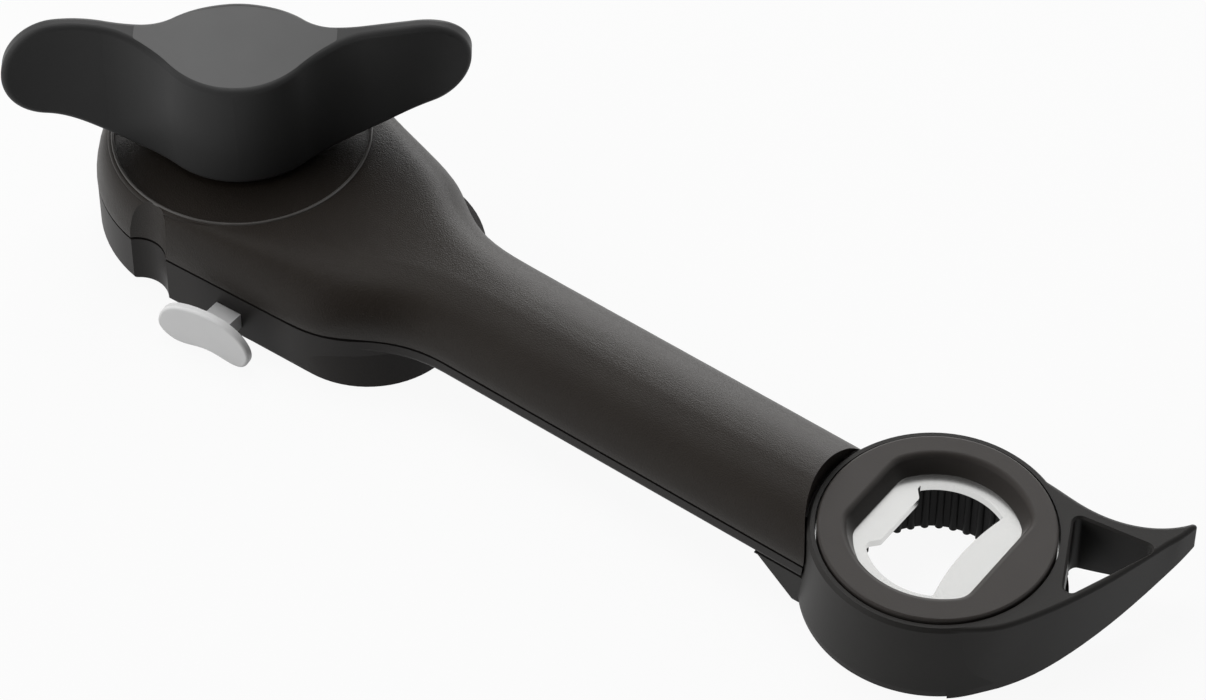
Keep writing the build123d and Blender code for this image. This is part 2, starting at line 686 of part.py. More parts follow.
def top_pad_space():
    """Space of the soft pad: the skin of the saddle over the pad's plan."""
    column = extrude(Pos(0, 0, KNOB_SADDLE_Z / 2) * pad_plan(), CUT)
    return (column & profile_solid(0)) - profile_solid(TOP_PAD_DEPTH)


def knob_body():
    """Knob with rounded edges all round its wings and its saddle."""
    body = loft([knob_level(KNOB_LOFT_LOW), knob_level(KNOB_LOFT_HIGH)], ruled=True) & profile_solid(0)
    rim = [e for e in body.edges() if e.geom_type != GeomType.LINE and e.center().Z > KNOB_BOTTOM + 0.1]
    return fillet(rim, KNOB_EDGE_R)


def turning_knob():
    body = knob_body() - top_pad_space()
    body -= shaft_profile(SLIP, KNOB_BOTTOM - 1, SHAFT_TOP + SEAT_GAP)
    body -= cylinder(0, 0, SHAFT_TOP - 1, CUT, KNOB_SCREW_R + SCREW_ROOM)
    body -= cylinder(0, 0, KNOB_SCREW_SEAT, CUT, KNOB_SCREW_HEAD_R + SCREW_ROOM)
    return knob_axes() * body


def knob_top_pad():
    return knob_axes() * top_pad_space()


def knob_screw():
    seat = KNOB_SCREW_SEAT + RUN
    top = seat + KNOB_SCREW_HEAD_H
    half, depth = KNOB_SCREW_SLOT
    slot = block(-half, half, -SLOT_HALF, SLOT_HALF, top - depth, top + 1)
    shank = cylinder(0, 0, seat - KNOB_SCREW_LENGTH, seat, KNOB_SCREW_R)
    return cylinder(0, 0, seat, top, KNOB_SCREW_HEAD_R) + shank - slot


def shaft_profile(gap, low, high):
    """Round shaft with a flat that drives the knob."""
    body = cylinder(0, 0, low, high, SHAFT_R + gap)
    return body - block(SHAFT_FLAT + gap, CUT, -CUT, CUT, low, high)


def drive_shaft():
    body = cylinder(0, 0, JOURNAL_END_Z, FLAT_LOW, SHAFT_R)
    body += knob_axes() * shaft_profile(0, FLAT_LOW, SHAFT_TOP)
    body += wheel_seat(0)
    body -= tube(0, 0, CLIP_Z, CLIP_Z + CLIP_T, SHAFT_R + 1, CLIP_GROOVE_R)
    body -= cylinder(0, 0, KNOB_SCREW_SEAT - KNOB_SCREW_LENGTH - 1, CUT, KNOB_SCREW_R + SLIP)
    body -= cylinder(0, 0, 0, FEED_SCREW_TOP + 1, FEED_SCREW_R + SLIP)
    return body


def wheel_seat(gap):
    """Lower end of the shaft with two flats that drive the feed wheel."""
    body = cylinder(0, 0, FEED_LOW, JOURNAL_END_Z, WHEEL_SEAT_R + gap)
    return body & block(-CUT, CUT, -WHEEL_FLAT - gap, WHEEL_FLAT + gap, 0, CUT)


def feed_wheel():
    """Hardened wheel with a toothed rim and a plain hub."""
    rim = cylinder(0, 0, FEED_LOW, FEED_RIM_TOP, FEED_R)
    pitch = 360 / FEED_TEETH
    half = TOOTH_GROOVE_SHARE * FEED_R * radians(pitch) / 2
    outer = FEED_R + TOOTH_DEPTH / 2
    groove = make_face(Polyline((outer, -half), (outer, half), (FEED_R - TOOTH_DEPTH, 0), close=True))
    cutter = extrude(groove, JOURNAL_END_Z)
    grooves = [Rot(0, 0, pitch * i) * cutter for i in range(FEED_TEETH)]
    hub = cylinder(0, 0, FEED_LOW, JOURNAL_END_Z - RUN, FEED_HUB_R)
    return rim - grooves + hub - wheel_seat(SLIP)


def feed_wheel_screw():
    head = cylinder(0, 0, FEED_SCREW_LOW, FEED_LOW, FEED_SCREW_HEAD_R)
    half, depth = FEED_SCREW_SLOT
    slot = block(-half, half, -SLOT_HALF, SLOT_HALF, 0, FEED_SCREW_LOW + depth)
    return head + cylinder(0, 0, FEED_LOW, FEED_SCREW_TOP, FEED_SCREW_R) - slot


def upper_bush():
    flange = tube(0, 0, DISH_Z, DISH_Z + UPPER_FLANGE_T, UPPER_FLANGE_R, SHAFT_R + RUN)
    return flange + tube(0, 0, UPPER_BUSH_LOW, DISH_Z, BUSH_R, SHAFT_R + RUN)


def lower_bush():
    flange = tube(0, 0, DECK_TOP, DECK_TOP + LOWER_FLANGE_T, LOWER_FLANGE_R, SHAFT_R + RUN)
    return flange + tube(0, 0, RIM_SEAT_Z, DECK_TOP, BUSH_R, SHAFT_R + RUN)


def thrust_washer():
    return tube(0, 0, DISH_Z + UPPER_FLANGE_T + RUN, KNOB_BOTTOM - SLIP, WASHER_R, SHAFT_R + SLIP)


def retaining_clip():
    """Open spring clip in the shaft's groove, above the lower bush."""
    ring = tube(0, 0, CLIP_Z + SLIP, CLIP_Z + CLIP_T - SLIP, CLIP_R, CLIP_GROOVE_R + SLIP)
    return ring - block(0, CUT, -CLIP_MOUTH_HALF, CLIP_MOUTH_HALF, 0, CUT)


def cutter_carrier():
    """Swinging steel arm from the pivot to the cutter's axle."""
    arm = SlotCenterToCenter(hypot(CUTTER_X - PIVOT_X, CUTTER_Y - PIVOT_Y), CARRIER_WIDTH)
    turn = degrees(atan2(CUTTER_Y - PIVOT_Y, CUTTER_X - PIVOT_X))
    middle = Pos((CUTTER_X + PIVOT_X) / 2, (CUTTER_Y + PIVOT_Y) / 2, CARRIER_LOW)
    body = middle * Rot(0, 0, turn) * extrude(arm, CARRIER_TOP - CARRIER_LOW)
    body -= cylinder(PIVOT_X, PIVOT_Y, 0, CUT, PIVOT_R + RUN)
    return body - cylinder(CUTTER_X, CUTTER_Y, 0, CUT, AXLE_R + SLIP)


def carrier_pivot_pin():
    """Shouldered pin fixed in the bearing plate and the deck."""
    x, y = PIVOT_X, PIVOT_Y
    shoulder = CARRIER_LOW - SEAT_GAP
    seat = RIM_SEAT_Z - SLIP
    head = cylinder(x, y, shoulder - PIVOT_HEAD_H, shoulder, PIVOT_HEAD_R)
    return head + cylinder(x, y, shoulder, seat, PIVOT_R) + cylinder(x, y, seat, DECK_TOP, PIVOT_SHANK_R)


def cutter_axle():
    x, y = CUTTER_X, CUTTER_Y
    shoulder = CUTTER_LOW - SEAT_GAP
    head = cylinder(x, y, shoulder - AXLE_HEAD_H, shoulder, AXLE_HEAD_R)
    return head + cylinder(x, y, shoulder, CARRIER_TOP - RUN, AXLE_R)


def cutting_wheel():
    """Free-running wheel ground to an edge."""
    bore = AXLE_R + RUN
    profile = [
        (bore, CUTTER_LOW), (CUTTER_HUB_R, CUTTER_LOW), (CUTTER_HUB_R, CUTTER_EDGE_Z - CUTTER_BEVEL_LOW),
        (CUTTER_R, CUTTER_EDGE_Z - CUTTER_LAND), (CUTTER_R, CUTTER_EDGE_Z + CUTTER_LAND),
        (CUTTER_HUB_R, CUTTER_EDGE_Z + CUTTER_BEVEL_TOP), (CUTTER_HUB_R, CUTTER_TOP), (bore, CUTTER_TOP),
    ]
    return Pos(CUTTER_X, CUTTER_Y, 0) * turned(profile)


def pincher_button():
    """Bean-shaped paddle on a square stem, with a thin rod that carries the moving jaw."""
    outline = make_face(Spline(*BUTTON_OUTLINE, periodic=True))
    paddle = extrude(Plane.XZ * outline, BUTTON_T)
    paddle = fillet(paddle.faces().sort_by(Axis.Y)[0].edges(), BUTTON_EDGE_R)
    paddle = Pos(BUTTON_X, BUTTON_Y + BUTTON_T, 0) * Rot(0, 0, BUTTON_TURN) * paddle
    root_y = BUTTON_Y + BUTTON_T / 2
    stem = block(STEM_X - STEM_HALF, STEM_X + STEM_HALF, root_y, STEM_END_Y, STEM_LOW, STEM_TOP)
    rod_length = MOVING_JAW_Y + JAW_T - STEM_END_Y
    middle = (STEM_LOW + STEM_TOP) / 2
    rod = Pos(STEM_X, STEM_END_Y, middle) * Rot(-90, 0, 0) * Cylinder(
        ROD_R, rod_length, align=(Align.CENTER, Align.CENTER, Align.MIN))
    return paddle + stem + rod


def jaw_plate(y, face):
    """Upright jaw with small teeth on its gripping face, +1 or -1 along Y."""
    plate = block(STEM_X - JAW_HALF, STEM_X + JAW_HALF, y, y + JAW_T, JAW_LOW, RIM_SEAT_Z - JAW_GAP)
    grip_y = y + JAW_T if face > 0 else y
    count = int(2 * JAW_HALF / JAW_TOOTH)
    for i in range(count):
        x = STEM_X - JAW_HALF + (i + 0.5) * JAW_TOOTH
        plate -= Pos(x, grip_y, 0) * Rot(0, 0, 45) * Box(JAW_GROOVE, JAW_GROOVE, CUT)
    return plate


def moving_jaw():
    middle = (STEM_LOW + STEM_TOP) / 2
    hole = Pos(STEM_X, MOVING_JAW_Y, middle) * Rot(90, 0, 0) * Cylinder(ROD_R + SLIP, 4 * JAW_T)
    return jaw_plate(MOVING_JAW_Y, 1) - hole


def fixed_jaw():
    """Bent steel jaw riveted under the bearing plate."""
    left, right = STEM_X - JAW_HALF, STEM_X + JAW_HALF
    foot = block(left, right, FIXED_JAW_Y + JAW_GAP, JAW_FOOT_Y, RIM_SEAT_Z - JAW_T, RIM_SEAT_Z)
    jaw = jaw_plate(FIXED_JAW_Y, -1) + foot
    return jaw - cylinder(STEM_X, JAW_RIVET_Y, 0, CUT, JAW_RIVET_R + SLIP)


def jaw_rivet():
    low = RIM_SEAT_Z - JAW_T
    shank = cylinder(STEM_X, JAW_RIVET_Y, low, RIM_SEAT_Z + PLATE_T - SLIP, JAW_RIVET_R)
    return shank + cylinder(STEM_X, JAW_RIVET_Y, low - RIVET_HEAD_H, low, JAW_RIVET_HEAD_R)


def pincher_spring():
    """Compression spring on the rod between the stem and the guide's end wall."""
    start = STEM_END_Y + SEAT_GAP + SPRING_WIRE_R
    length = GUIDE_Y - SEAT_GAP - SPRING_WIRE_R - start
    path = Helix(pitch=length / SPRING_TURNS, height=length, radius=SPRING_R)
    section = Plane(path @ 0, z_dir=path % 0) * Circle(SPRING_WIRE_R)
    coil = sweep(section, path=path, is_frenet=True)
    middle = (STEM_LOW + STEM_TOP) / 2
    return Pos(STEM_X, start, middle) * Rot(-90, 0, 0) * coil


def ring_radius(z):
    """Outside radius of the tail ring's wall at a height."""
    share = (z - LIP_TOP) / (RING_TOP - RING_EDGE - LIP_TOP)
    return RING_R + share * (RING_NECK_R - RING_R)


def claw_plan(radius, draft):
    """Plan of the horn on the tail ring: a convex outer edge and a concave inner edge that meet in a tip."""
    lean = radians(CLAW_START_DEG)
    tip_lean = radians(CLAW_TIP_DEG)
    start = polar((RING_X, 0), radius, lean)
    outer = Spline(start, *[(x + draft, y) for x, y in CLAW_OUTER], CLAW_TIP,
                   tangents=[(-sin(lean), cos(lean)), (cos(tip_lean), sin(tip_lean))])
    inner = Spline(CLAW_TIP, *CLAW_INNER, CLAW_ROOT)
    centre = (RING_X + 1, 0)
    face = make_face([outer, inner, Line(CLAW_ROOT, centre), Line(centre, start)])
    tip = face.vertices().sort_by(Axis.Y)[-1]
    return fillet(tip, CLAW_TIP_R)


def claw_hole():
    """Rounded triangular hole through the horn."""
    corners = make_face(Polyline(*CLAW_HOLE, close=True))
    plan = fillet(corners.vertices(), CLAW_HOLE_R)
    low = Pos(0, 0, RING_TOP - CLAW_HOLE_CHAMFER) * plan
    wide = Pos(0, 0, RING_TOP + SLIP) * offset(plan, CLAW_HOLE_CHAMFER)
    return extrude(Pos(0, 0, -1) * plan, CUT) + loft([low, wide], ruled=True)


def claw():
    """Horn with a rounded top edge, whose underside rises from the ring towards the tip."""
    foot = claw_plan(ring_radius(0) - CLAW_LAP, CLAW_DRAFT)
    crest = Pos(0, 0, RING_TOP) * claw_plan(ring_radius(RING_TOP) - CLAW_LAP, -CLAW_DRAFT)
    body = loft([foot, crest], ruled=True)
    top = body.faces().sort_by(Axis.Z)[-1].edges()
    body = fillet([e for e in top if e.geom_type != GeomType.LINE], CLAW_EDGE_R)
    first, middle, last = CLAW_UNDERSIDE
    end_x = last[0] + CUT
    below = make_face([
        ThreePointArc(first, middle, last),
        Polyline(last, (end_x, last[1]), (end_x, -1), (first[0], -1), first),
    ])
    tip_turn = degrees(atan2(CLAW_TIP[1], CLAW_TIP[0] - RING_X))
    return body - Pos(RING_X, 0, 0) * Rot(0, 0, tip_turn) * extrude(Plane.XZ * below, CUT, both=True)


def ring_saddle():
    """Wedge under the handle's end that the ring stands on."""
    high, low = SADDLE_SLOPE
    slope = Polyline((SADDLE_X, SADDLE_TOP), (SADDLE_X, high[1]), high, low, (SADDLE_END_X, low[1]),
                     (SADDLE_END_X, SADDLE_TOP), close=True)
    near = HANDLE_Y - HANDLE_HALF + SADDLE_INSET
    far = HANDLE_Y + HANDLE_HALF - SADDLE_INSET
    return Pos(0, far, 0) * extrude(Plane.XZ * make_face(slope), far - near)


def tail_ring():
    wall = Pos(RING_X, 0, 0) * turned([
        (BORE_R - 1, LIP_TOP), (RING_R, LIP_TOP), (RING_NECK_R, RING_TOP - RING_EDGE), (RING_TOP_R, RING_TOP),
        (BORE_R - 1, RING_TOP)])
    near, far = HANDLE_Y - TONGUE_HALF, HANDLE_Y + TONGUE_HALF
    tongue = block(TONGUE_X, TONGUE_END_X, near, far, TONGUE_LOW, TONGUE_TOP)
    body = wall + claw() + ring_saddle() + tongue - claw_hole()
    for x, y in TAIL_SCREWS:
        body -= cylinder(x, y, 0, CUT, SCREW_R + RUN)
    body -= cylinder(RING_X, 0, -1, CUT, BORE_R)
    body -= cylinder(RING_X, 0, -1, LIP_TOP, LIP_R + SLIP)
    return body - cylinder(RING_X, 0, PLATE_Z, CUT, SEAT_R)


def ring_lower_lip():
    lip = turned([(BORE_R, 0), (LIP_R - LIP_EDGE, 0), (LIP_R, LIP_EDGE), (LIP_R, LIP_TOP), (BORE_R, LIP_TOP)])
    return Pos(RING_X, 0, 0) * lip


def aperture_plan(inset):
    """Opening of the bezel: a circle cut straight on two sides, with rounded corners."""
    face = Circle(APERTURE_R - inset)
    width = APERTURE_RIGHT - APERTURE_LEFT - 2 * inset
    middle = (APERTURE_RIGHT + APERTURE_LEFT) / 2
    face &= Pos(middle, 0) * Rectangle(width, CUT)
    return Pos(0, APERTURE_Y) * fillet(face.vertices(), APERTURE_CORNER_R)


def ring_bezel():
    """Cap of the tail ring with a deep opening that narrows down to the steel plate."""
    low = PLATE_Z + OPENER_T + SLIP
    disc = cylinder(0, 0, low, BEZEL_TOP, BEZEL_R)
    foot = Pos(0, 0, low) * aperture_plan(APERTURE_SLOPE)
    mouth = Pos(0, 0, BEZEL_TOP) * aperture_plan(0)
    disc -= loft([foot, mouth], ruled=True)
    top = disc.faces().sort_by(Axis.Z)[-1]
    disc = fillet(top.inner_wires()[0].edges(), APERTURE_EDGE_R)
    top = disc.faces().sort_by(Axis.Z)[-1]
    return Pos(RING_X, 0, 0) * fillet(top.outer_wire().edges(), BEZEL_EDGE_R)


def opener_opening():
    """Opening of the cap lifter: a lip with a nick at each end on the handle side, a bowed edge opposite."""
    nick_y = sqrt(OPENING_R ** 2 - NICK_X ** 2)
    bow_y = sqrt(OPENING_R ** 2 - BOW_X ** 2)
    face = make_face([
        Polyline((NICK_X, -nick_y), (NICK_X, -NICK_HALF), (LIP_X, -LIP_HALF), (LIP_X, LIP_HALF),
                 (NICK_X, NICK_HALF), (NICK_X, nick_y)),
        ThreePointArc((NICK_X, nick_y), (0, OPENING_R), (BOW_X, bow_y)),
        ThreePointArc((BOW_X, bow_y), (BOW_X - BOW_RISE, 0), (BOW_X, -bow_y)),
        ThreePointArc((BOW_X, -bow_y), (0, -OPENING_R), (NICK_X, -nick_y)),
    ])
    return Pos(0, OPENING_Y) * fillet(face.vertices(), OPENING_CORNER_R)


def bottle_opener_plate():
    plate = cylinder(0, 0, PLATE_Z, PLATE_Z + OPENER_T, SEAT_R - RUN)
    return Pos(RING_X, 0, 0) * (plate - extrude(Pos(0, 0, PLATE_Z - 1) * opener_opening(), OPENER_T + 2))


def jar_grip_liner():
    """Soft sleeve with upright ribs that grips screw caps."""
    sleeve = tube(0, 0, LINER_LOW, LINER_TOP, LINER_R, LINER_INNER_R)
    rib = cylinder(LINER_INNER_R + RIB_ROOT, 0, LINER_LOW, LINER_TOP, RIB_DEPTH + RIB_ROOT)
    rib &= tube(0, 0, LINER_LOW, LINER_TOP, LINER_INNER_R + RIB_DEPTH, LINER_INNER_R - RIB_DEPTH)
    ribs = [Rot(0, 0, 360 / RIB_COUNT * i) * rib for i in range(RIB_COUNT)]
    return Pos(RING_X, 0, 0) * (sleeve + ribs)


PIECES = [
    upper_shell, lower_shell, housing_screws, bearing_plate, plate_screws, upper_bush, lower_bush,
    turning_knob, knob_top_pad, knob_screw, drive_shaft, thrust_washer, retaining_clip,
    feed_wheel, feed_wheel_screw,
    carrier_pivot_pin, cutter_carrier, cutter_axle, cutting_wheel,
    pincher_button, moving_jaw, fixed_jaw, jaw_rivet, pincher_spring,
    tail_ring, ring_lower_lip, ring_bezel, bottle_opener_plate, jar_grip_liner,
]

os.makedirs("parts", exist_ok=True)
for piece in PIECES:
    solid = piece()
    export_step(solid, f"parts/{piece.__name__}.step")
    print(piece.__name__, len(solid.solids()), round(solid.volume, 1), solid.is_valid)
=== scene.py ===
from math import cos, radians, sin

import bpy
from mathutils import Matrix, Vector


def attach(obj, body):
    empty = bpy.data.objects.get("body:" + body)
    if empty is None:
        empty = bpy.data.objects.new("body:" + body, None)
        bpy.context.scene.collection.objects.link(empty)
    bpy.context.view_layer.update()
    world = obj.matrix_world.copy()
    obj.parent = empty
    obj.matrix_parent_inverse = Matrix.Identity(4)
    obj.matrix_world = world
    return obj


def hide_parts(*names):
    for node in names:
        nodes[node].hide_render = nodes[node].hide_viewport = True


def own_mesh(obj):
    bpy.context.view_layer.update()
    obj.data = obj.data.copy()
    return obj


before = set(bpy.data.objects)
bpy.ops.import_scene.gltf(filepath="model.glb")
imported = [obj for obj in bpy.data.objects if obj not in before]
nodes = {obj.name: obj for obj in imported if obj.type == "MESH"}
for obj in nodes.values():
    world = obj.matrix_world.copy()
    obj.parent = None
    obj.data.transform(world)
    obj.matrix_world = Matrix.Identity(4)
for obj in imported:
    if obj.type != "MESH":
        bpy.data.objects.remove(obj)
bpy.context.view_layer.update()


# Housing shells: the upper and lower halves of the head and handle, which part on a flat plane.
# Both are injection-moulded ABS; the upper mould is spark-eroded, the lower one is left smoother.
# Screws driven from below hold the halves together.

def linear(code):
    """Linear colour of an sRGB hex code."""
    channels = [int(code[i:i + 2], 16) / 255 for i in (1, 3, 5)]
    return [c / 12.92 if c <= 0.04045 else ((c + 0.055) / 1.055) ** 2.4 for c in channels] + [1]


def add(tree, kind, settings, links):
    """One node with its settings and its links, each link given as input socket to output socket."""
    made = tree.nodes.new(kind)
    for name, value in settings.items():
        if isinstance(name, int) or name in made.inputs:
            made.inputs[name].default_value = value
        else:
            setattr(made, name, value)
    for name, socket in links.items():
        tree.links.new(socket, made.inputs[name])
    return made


def finish_of(name, **constants):
    """New material with its own shader, whose constant sockets are set directly."""
    material = bpy.data.materials.new(name)
    material.use_nodes = True
    shader = material.node_tree.nodes["Principled BSDF"]
    for socket, value in constants.items():
        shader.inputs[socket.replace("_", " ")].default_value = value
    place = add(material.node_tree, "ShaderNodeTexCoord", {}, {}).outputs["Object"]
    return material, material.node_tree, shader, place


def dress(material, *names):
    """Gives CAD nodes their finish."""
    for name in names:
        nodes[name].data.materials.clear()
        nodes[name].data.materials.append(material)


# Spark erosion leaves a leathery grain that breaks the highlight up, in a warm near-black.
# The real grain is about a tenth of a millimetre; it is drawn at 0.28 mm, so that it shows.
SHELL_GRIT = 0.00028
SHELL_MOTTLE = 0.012
shell_abs, tree, shader, place = finish_of("spark-eroded ABS", Roughness=0.42, IOR=1.5,
                                           Specular_IOR_Level=0.26)
grit = add(tree, "ShaderNodeTexNoise", {"Scale": 1 / SHELL_GRIT, "Detail": 3.0}, {"Vector": place})
mottle = add(tree, "ShaderNodeTexNoise", {"Scale": 1 / SHELL_MOTTLE, "Detail": 3.0}, {"Vector": place})
tint = add(tree, "ShaderNodeMix", {"data_type": "RGBA", 6: linear("#1a1613"), 7: linear("#211d19")},
           {0: mottle.outputs["Fac"]})
bump = add(tree, "ShaderNodeBump", {"Strength": 0.8, "Distance": 0.00012}, {"Height": grit.outputs["Fac"]})
tree.links.new(tint.outputs[2], shader.inputs["Base Color"])
tree.links.new(bump.outputs["Normal"], shader.inputs["Normal"])
dress(shell_abs, "upper_shell")

# The smoother mould gives a flatter, more neutral near-black with hardly any grain.
lower_abs, tree, shader, place = finish_of("smooth-moulded ABS", Roughness=0.46, IOR=1.5,
                                           Specular_IOR_Level=0.16)
grit = add(tree, "ShaderNodeTexNoise", {"Scale": 1 / SHELL_GRIT, "Detail": 3.0}, {"Vector": place})
mottle = add(tree, "ShaderNodeTexNoise", {"Scale": 1 / SHELL_MOTTLE, "Detail": 3.0}, {"Vector": place})
tint = add(tree, "ShaderNodeMix", {"data_type": "RGBA", 6: linear("#1c1a19"), 7: linear("#22201f")},
           {0: mottle.outputs["Fac"]})
bump = add(tree, "ShaderNodeBump", {"Strength": 0.3, "Distance": 0.00008}, {"Height": grit.outputs["Fac"]})
tree.links.new(tint.outputs[2], shader.inputs["Base Color"])
tree.links.new(bump.outputs["Normal"], shader.inputs["Normal"])
dress(lower_abs, "lower_shell")


# Bead on the rim of the dish in the upper shell, which finishes the edge under the knob.
# Moulded with the shell in the same ABS, so it follows the rim where the shoulder rises or the notch dips.
# Its path is the rim edge of a merged copy of the shell: steep dish wall inside, flatter shoulder outside.

DISH_RADIUS = 0.0254
RIM_SLACK = 0.00015
RIM_LOWEST_Z = 0.0203
WALL_SLOPE = -0.9
SHOULDER_SLOPE = -0.75
BEAD_RADIUS = 0.00034
WELD = 0.000002
bpy.ops.object.select_all(action="DESELECT")
rim = bpy.data.objects.new("dish_rim_bead", nodes["upper_shell"].data.copy())
bpy.context.scene.collection.objects.link(rim)
bpy.context.view_layer.objects.active = rim
rim.select_set(True)
bpy.ops.object.mode_set(mode="EDIT")
bpy.ops.mesh.select_all(action="SELECT")
bpy.ops.mesh.remove_doubles(threshold=WELD)
bpy.ops.mesh.select_mode(type="EDGE")
bpy.ops.mesh.select_all(action="DESELECT")
bpy.ops.object.mode_set(mode="OBJECT")
beside = {}
for face in rim.data.polygons:
    for key in face.edge_keys:
        beside.setdefault(key, []).append(face.normal)
for edge in rim.data.edges:
    ends = [rim.data.vertices[v].co for v in edge.vertices]
    outward = Vector((ends[0].x, ends[0].y, 0)).normalized()
    slopes = sorted(normal.dot(outward) for normal in beside[edge.key])
    near_rim = all(abs(end.xy.length - DISH_RADIUS) < RIM_SLACK and end.z > RIM_LOWEST_Z for end in ends)
    edge.select = not (near_rim and slopes[0] < WALL_SLOPE and slopes[-1] > SHOULDER_SLOPE)
bpy.ops.object.mode_set(mode="EDIT")
bpy.ops.mesh.delete(type="EDGE")
bpy.ops.mesh.select_all(action="SELECT")
bpy.ops.mesh.delete_loose(use_verts=True, use_edges=False, use_faces=False)
bpy.ops.object.mode_set(mode="OBJECT")
bpy.ops.object.convert(target="CURVE")
rim.data.bevel_depth = BEAD_RADIUS
rim.data.bevel_resolution = 3
rim.data.use_fill_caps = True
bpy.ops.object.convert(target="MESH")
bpy.ops.object.shade_smooth()

# Its colour is painted paler than the shell's, a painted highlight that draws the edge as a thin light line;
# the lower roughness and stronger specular add a real shine.
BEAD_MOTTLE = 0.002
rim_highlight_abs, tree, shader, place = finish_of("ABS with painted rim highlight", Roughness=0.3, IOR=1.5, Specular_IOR_Level=0.5)
mottle = add(tree, "ShaderNodeTexNoise", {"Scale": 1 / BEAD_MOTTLE, "Detail": 2.0}, {"Vector": place})
tint = add(tree, "ShaderNodeMix", {"data_type": "RGBA", 6: linear("#3a3836"), 7: linear("#4a4846")},
           {0: mottle.outputs["Fac"]})
tree.links.new(tint.outputs[2], shader.inputs["Base Color"])
rim.data.materials.clear()
rim.data.materials.append(rim_highlight_abs)
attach(rim, "housing")


# Screws and rivet: pan-head and countersunk thread-forming screws, and the rivet of the fixed jaw.
# Carbon steel, cold-headed, zinc-plated and passivated.
# The housing screws go up through the lower shell into bosses in the upper one.

# The clear passivation leaves a cloudy, faintly bluish grey shine.
ZINC_CLOUD = 0.0012
zinc, tree, shader, place = finish_of("zinc-plated steel", Metallic=1.0)
cloud = add(tree, "ShaderNodeTexNoise", {"Scale": 1 / ZINC_CLOUD, "Detail": 3.0}, {"Vector": place})
tint = add(tree, "ShaderNodeMix", {"data_type": "RGBA", 6: linear("#a9adb2"), 7: linear("#c3c6c8")},
           {0: cloud.outputs["Fac"]})
rough = add(tree, "ShaderNodeMapRange", {"To Min": 0.28, "To Max": 0.42}, {"Value": cloud.outputs["Fac"]})
tree.links.new(tint.outputs[2], shader.inputs["Base Color"])
tree.links.new(rough.outputs["Result"], shader.inputs["Roughness"])
dress(zinc, "housing_screws", "plate_screws", "knob_screw", "feed_wheel_screw", "jaw_rivet")


# Bearing plate, cutter carrier and the two jaws under the head.
# Stainless sheet, blanked and bent, then tumbled; three screws hold the plate to the lower shell's deck.

# Tumbling dulls the faces to an even satin with a fine grain.
SHEET_GRAIN = 0.0004
sheet, tree, shader, place = finish_of("tumbled stainless sheet", Metallic=1.0)
grain = add(tree, "ShaderNodeTexNoise", {"Scale": 1 / SHEET_GRAIN, "Detail": 4.0}, {"Vector": place})
tint = add(tree, "ShaderNodeMix", {"data_type": "RGBA", 6: linear("#b4b4b2"), 7: linear("#c9c9c6")},
           {0: grain.outputs["Fac"]})
rough = add(tree, "ShaderNodeMapRange", {"To Min": 0.3, "To Max": 0.45}, {"Value": grain.outputs["Fac"]})
tree.links.new(tint.outputs[2], shader.inputs["Base Color"])
tree.links.new(rough.outputs["Result"], shader.inputs["Roughness"])
dress(sheet, "bearing_plate", "cutter_carrier", "moving_jaw", "fixed_jaw")


# Shaft, wheels, pins, washer and clip that turn, or are turned on, under the head.
# Hardened tool steel, turned to size and ground; the feed wheel is screwed to the shaft's end.

# Grinding leaves a darker grey than the sheet, with a fine uneven sheen.
TURNED_GRAIN = 0.0003
turned, tree, shader, place = finish_of("turned hardened steel", Metallic=1.0)
grain = add(tree, "ShaderNodeTexNoise", {"Scale": 1 / TURNED_GRAIN, "Detail": 2.0}, {"Vector": place})
tint = add(tree, "ShaderNodeMix", {"data_type": "RGBA", 6: linear("#8f8f90"), 7: linear("#a8a8a8")},
           {0: grain.outputs["Fac"]})
rough = add(tree, "ShaderNodeMapRange", {"To Min": 0.25, "To Max": 0.4}, {"Value": grain.outputs["Fac"]})
tree.links.new(tint.outputs[2], shader.inputs["Base Color"])
tree.links.new(rough.outputs["Result"], shader.inputs["Roughness"])
dress(turned, "drive_shaft", "thrust_washer", "retaining_clip", "feed_wheel", "cutting_wheel",
      "carrier_pivot_pin", "cutter_axle")


# Return spring of the lid pincher: turns of round wire on the button's rod, inside the head.
# Hard-drawn spring steel, coiled cold. Its inner end stays on the guide's wall.
# The turns close as the button goes in.

SMOOTH_BELOW = radians(40)
bpy.ops.object.select_all(action="DESELECT")
spring = bpy.data.objects.new("button_return_spring", nodes["pincher_spring"].data.copy())
bpy.context.scene.collection.objects.link(spring)
bpy.context.view_layer.objects.active = spring
spring.select_set(True)
bpy.ops.object.mode_set(mode="EDIT")
bpy.ops.mesh.select_all(action="SELECT")
bpy.ops.mesh.remove_doubles(threshold=WELD)
bpy.ops.object.mode_set(mode="OBJECT")
bpy.ops.object.shade_smooth_by_angle(angle=SMOOTH_BELOW)

# Drawing through a die leaves the wire a dull, even steel grey.
WIRE_GRAIN = 0.0004
wire, tree, shader, place = finish_of("drawn spring wire", Metallic=1.0)
grain = add(tree, "ShaderNodeTexNoise", {"Scale": 1 / WIRE_GRAIN, "Detail": 2.0}, {"Vector": place})
tint = add(tree, "ShaderNodeMix", {"data_type": "RGBA", 6: linear("#858585"), 7: linear("#9c9c9c")},
           {0: grain.outputs["Fac"]})
rough = add(tree, "ShaderNodeMapRange", {"To Min": 0.3, "To Max": 0.42}, {"Value": grain.outputs["Fac"]})
tree.links.new(tint.outputs[2], shader.inputs["Base Color"])
tree.links.new(rough.outputs["Result"], shader.inputs["Roughness"])
spring.data.materials.clear()
spring.data.materials.append(wire)
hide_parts("pincher_spring")
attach(spring, "housing")
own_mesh(spring)


# Flanged bushes that carry the shaft, one in each shell.
# Moulded acetal, which runs on steel without oil.

